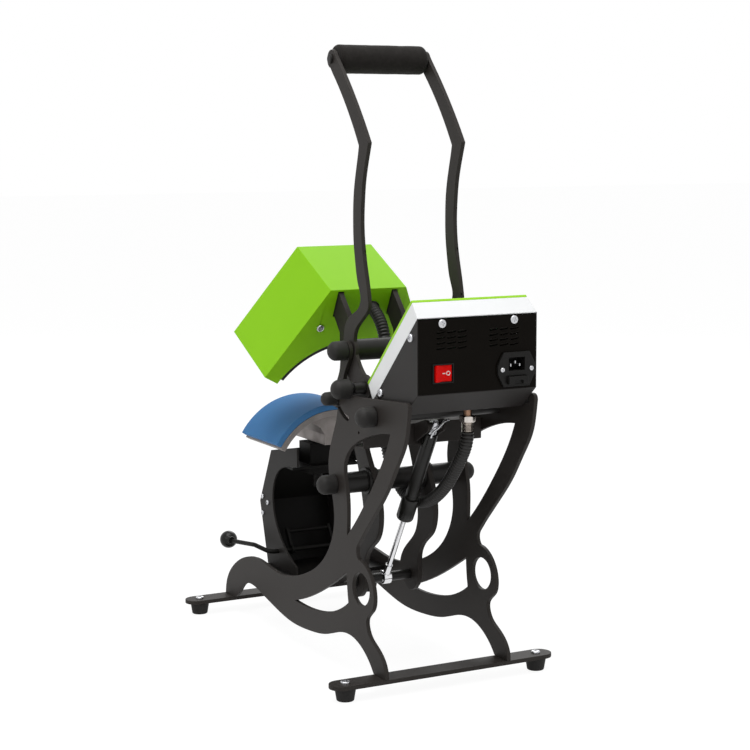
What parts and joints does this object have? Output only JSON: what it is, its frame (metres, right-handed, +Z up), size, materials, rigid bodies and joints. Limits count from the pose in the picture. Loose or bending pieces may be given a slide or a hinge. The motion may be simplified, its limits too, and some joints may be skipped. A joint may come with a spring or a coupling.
{
  "type": "cap heat press",
  "caption": "Clam-action heat press for caps: curved heated head on swing arms, curved silicone pad, tall toggle handle, gas spring and tilted control box on a cut steel frame.",
  "frame": {"origin": "on the bench under the middle of the overall box, which is the footprint of the feet in X and runs from the lever's ball to the fuse drawer in Y", "axes": "+Z up, -Y towards the operator, +X to the operator's right"},
  "size_m": [0.3512, 0.6484, 0.8825],
  "materials": {
    "powder_black": "semi-matte textured black powder coat",
    "cover_green": "smooth satin lime green powder coat",
    "tray_white": "smooth satin white powder coat",
    "face_green": "smooth satin lime green powder coat",
    "platen_black": "black non-stick coating",
    "pad_blue": "matt blue silicone rubber",
    "cast_aluminium": "raw sand-cast aluminium",
    "zinc_steel": "bright zinc-plated steel",
    "rod_chrome": "polished hard chrome",
    "black_steel": "black oxide steel",
    "foam_black": "matt closed-cell foam",
    "cap_rubber": "matt moulded rubber",
    "foot_rubber": "matt moulded rubber",
    "knob_black": "polished phenolic plastic",
    "conduit_black": "matt corrugated nylon",
    "brass_nickel": "nickel-washed brass",
    "rocker_red": "gloss translucent red",
    "switch_black": "matt black nylon",
    "button_grey": "gloss light grey",
    "display_glass": "smoked display window",
    "board_green": "solder resist"
  },
  "bodies": {
    "frame": {"base_bars": "powder_black", "rubber_feet": "foot_rubber", "foot_screws": "zinc_steel", "side_plate_right": "powder_black", "side_plate_left": "powder_black", "tie_rods": "black_steel", "dome_caps": "cap_rubber", "mid_tube": "powder_black", "rear_tie_tube": "powder_black", "pivot_collars": "powder_black", "pivot_sleeves": "powder_black", "cross_beam": "powder_black", "spring_bracket": "powder_black", "stand_sides": "powder_black", "stand_front": "powder_black", "stand_shelves": "powder_black", "post_nuts": "black_steel", "stand_screws": "zinc_steel", "control_box_shell": "powder_black", "rear_panel": "powder_black", "control_tray": "tray_white", "control_face": "face_green", "display_window": "display_glass", "control_board": "board_green", "box_screws": "zinc_steel", "box_spacers": "black_steel", "rocker_housing": "switch_black", "power_inlet": "switch_black", "inlet_pins": "zinc_steel", "inlet_screws": "zinc_steel", "cable_gland": "brass_nickel", "conduit": "conduit_black"},
    "swing": {"swing_arms": "powder_black", "lower_bar": "black_steel", "toggle_shaft": "black_steel", "head_cover": "cover_green", "heat_platen": "platen_black", "platen_hanger": "powder_black", "head_screws": "zinc_steel", "head_gland": "switch_black"},
    "handle": {"handle_arms": "powder_black", "handle_tubes": "powder_black", "foam_grip": "foam_black", "handle_rods": "black_steel", "handle_caps": "cap_rubber", "stop_pins": "black_steel", "stop_knobs": "cap_rubber"},
    "toggle": {"toggle_links": "powder_black"},
    "spring_cylinder": {"gas_cylinder": "black_steel"},
    "spring_rod": {"gas_rod": "rod_chrome"},
    "lower_platen": {"lower_platen": "cast_aluminium", "silicone_pad": "pad_blue", "platen_post": "black_steel"},
    "lever": {"holddown_lever": "black_steel", "ball_knob": "knob_black"},
    "rocker": {"rocker": "rocker_red"},
    "fuse_drawer": {"fuse_drawer": "switch_black"},
    "set_button": {"set_button": "button_grey"},
    "down_button": {"down_button": "button_grey"},
    "up_button": {"up_button": "button_grey"}
  },
  "joints": [
    {"name": "head_swing", "type": "hinge", "parent": "frame", "child": "swing", "pos_m": [0, 0.0913, 0.269], "axis": [1, 0, 0], "range_deg": [0, 27.08], "stiffness_Nm_per_rad": 10, "springref_deg": -80.21, "deforming": ["conduit"]},
    {"name": "handle_pivot", "type": "hinge", "parent": "frame", "child": "handle", "pos_m": [0, 0.137, 0.41], "axis": [1, 0, 0], "range_deg": [0, 45]},
    {"name": "toggle_pivot", "type": "hinge", "parent": "handle", "child": "toggle", "pos_m": [0, 0.095, 0.458], "axis": [1, 0, 0], "range_deg": [-71.3, 0]},
    {"name": "spring_pivot", "type": "hinge", "parent": "frame", "child": "spring_cylinder", "pos_m": [0, 0.199, 0.36], "axis": [1, 0, 0], "range_deg": [0, 14.44]},
    {"name": "spring_stroke", "type": "slide", "parent": "spring_cylinder", "child": "spring_rod", "axis": [0, -0.5056, -0.8627], "range_m": [-0.03, 0]},
    {"name": "platen_height", "type": "slide", "parent": "frame", "child": "lower_platen", "axis": [0, 0, 1], "range_m": [0, 0.015]},
    {"name": "lever_pivot", "type": "hinge", "parent": "frame", "child": "lever", "pos_m": [0, -0.188, 0.111], "axis": [-1, 0, 0], "range_deg": [0, 70]},
    {"name": "rocker_tilt", "type": "hinge", "parent": "frame", "child": "rocker", "pos_m": [0.0532, 0.311, 0.4488], "axis": [0, 0, -1], "range_deg": [0, 16]},
    {"name": "fuse_drawer_slide", "type": "slide", "parent": "frame", "child": "fuse_drawer", "axis": [0, 1, 0], "range_m": [0, 0.02]},
    {"name": "set_button_press", "type": "slide", "parent": "frame", "child": "set_button", "axis": [0, 0.7046, -0.7096], "range_m": [0, 0.0015], "stiffness_N_per_m": 400, "springref_m": -0.001},
    {"name": "down_button_press", "type": "slide", "parent": "frame", "child": "down_button", "axis": [0, 0.7046, -0.7096], "range_m": [0, 0.0015], "stiffness_N_per_m": 400, "springref_m": -0.001},
    {"name": "up_button_press", "type": "slide", "parent": "frame", "child": "up_button", "axis": [0, 0.7046, -0.7096], "range_m": [0, 0.0015], "stiffness_N_per_m": 400, "springref_m": -0.001}
  ],
  "couplings": [
    {"joint": "handle_pivot", "follows": "head_swing", "ratio": 1.6617},
    {"joint": "toggle_pivot", "follows": "head_swing", "ratio": -2.632},
    {"joint": "spring_pivot", "follows": "head_swing", "ratio": 0.533},
    {"joint": "spring_stroke", "follows": "head_swing", "m_per_rad": -0.06304}
  ]
}
